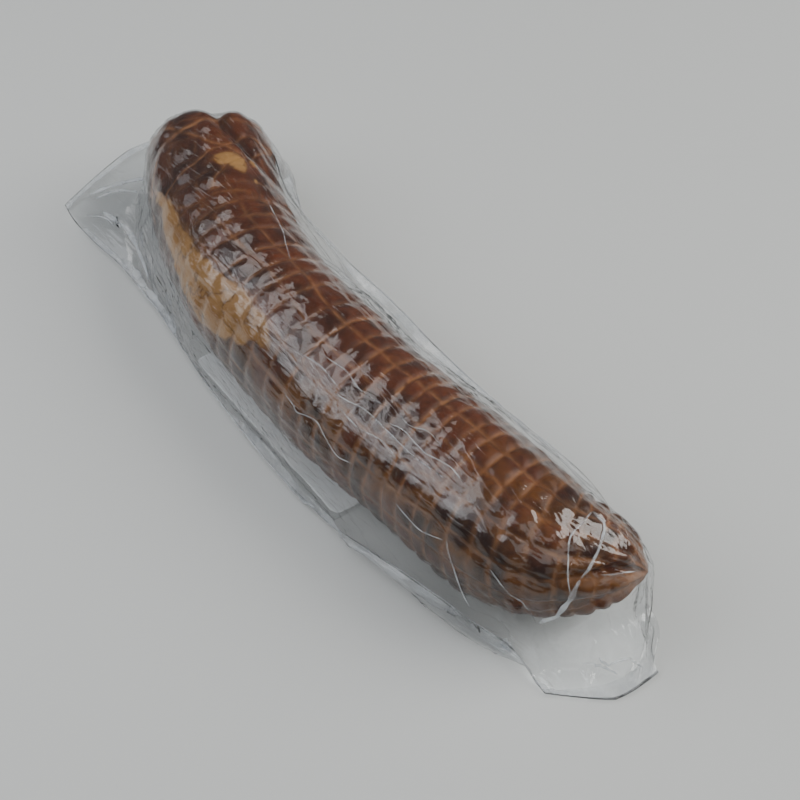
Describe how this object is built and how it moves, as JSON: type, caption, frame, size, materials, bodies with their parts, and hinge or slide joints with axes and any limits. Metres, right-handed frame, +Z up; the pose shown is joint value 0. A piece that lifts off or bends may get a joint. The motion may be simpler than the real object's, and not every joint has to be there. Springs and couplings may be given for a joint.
{
  "type": "vacuum-packed smoked cured sausage",
  "caption": "Curved smoked cured sausage with net marks in its skin, sealed in a clear vacuum pouch with a blank label, lying flat",
  "frame": {"origin": "middle of the underside of the whole pack's box", "axes": "+X along the pack towards the sausage's tapered end, +Z up, the sausage bulges to -Y"},
  "size_m": [0.5236, 0.1402, 0.0909],
  "materials": {
    "sausage": "moist smoked skin, dark red-brown with lighter net lines",
    "film": "clear glossy vacuum film",
    "label": "plain white coated paper"
  },
  "bodies": {
    "root": {"sausage": "sausage", "pouch_upper_film": "film", "pouch_lower_film": "film", "label": "label"}
  },
  "joints": []
}
